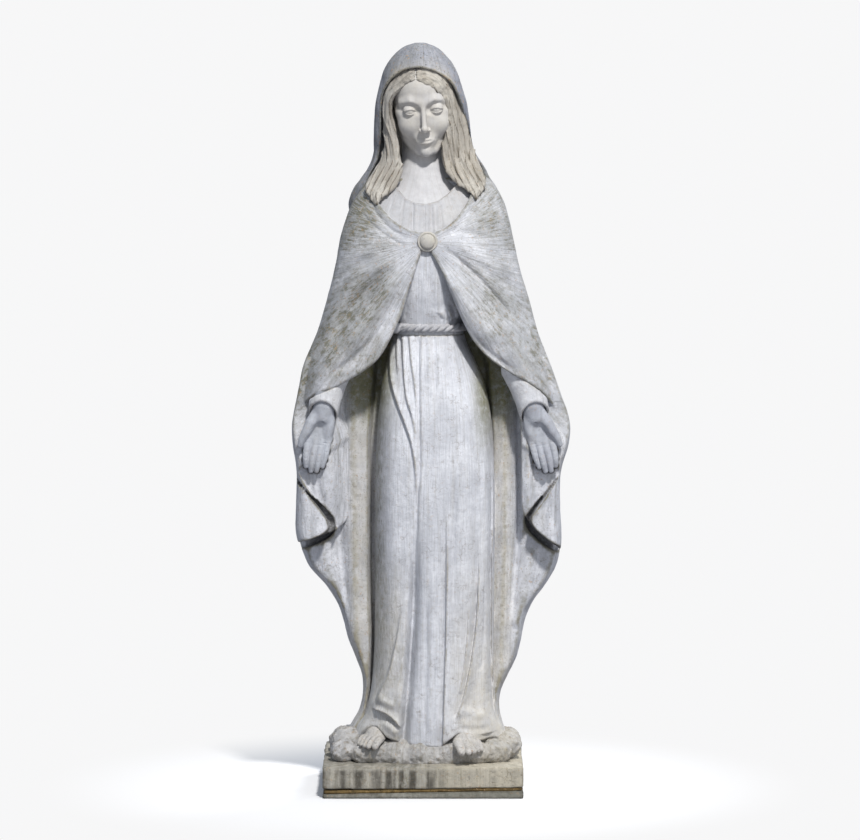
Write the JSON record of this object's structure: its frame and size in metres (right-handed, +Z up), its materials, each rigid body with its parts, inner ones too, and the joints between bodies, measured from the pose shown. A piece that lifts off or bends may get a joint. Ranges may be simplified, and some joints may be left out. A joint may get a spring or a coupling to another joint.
{
  "type": "madonna statue",
  "caption": "Standing garden statue of a veiled woman in a long clasped mantle, her open hands held low at her sides, on a low plinth.",
  "frame": {"origin": "centre of the underside of the base, on the ground", "axes": "+Z up; the figure faces -Y; her right side is at -X"},
  "size_m": [0.55, 0.36, 1.499],
  "materials": {
    "white_stone": "weathered, finely combed",
    "lichened_stone": "weathered, mottled with lichen",
    "pale_stone": "smooth, lightly weathered",
    "base_stone": "rough, streaked with water stains",
    "ochre_mortar": "sandy, matt",
    "steel": "plain bar"
  },
  "bodies": {
    "root": {"bedding_slab": "base_stone", "mortar_bed": "ochre_mortar", "plinth_block": "base_stone", "rock_mound": "base_stone", "foot_right": "white_stone", "foot_left": "white_stone", "tunic_skirt": "white_stone", "tunic_bodice": "white_stone", "rope_girdle": "pale_stone", "neck_yoke": "white_stone", "brooch": "pale_stone", "brooch_pin": "steel", "mantle_back": "lichened_stone", "mantle_front_right": "lichened_stone", "mantle_front_left": "lichened_stone", "sleeve_right": "white_stone", "sleeve_left": "white_stone", "hand_right": "white_stone", "hand_left": "white_stone", "hand_dowel_right": "steel", "hand_dowel_left": "steel", "head": "pale_stone", "hair_right": "pale_stone", "hair_left": "pale_stone", "veil": "lichened_stone", "armature_bar": "steel", "anchor_dowel_right": "steel", "anchor_dowel_left": "steel"}
  },
  "joints": []
}
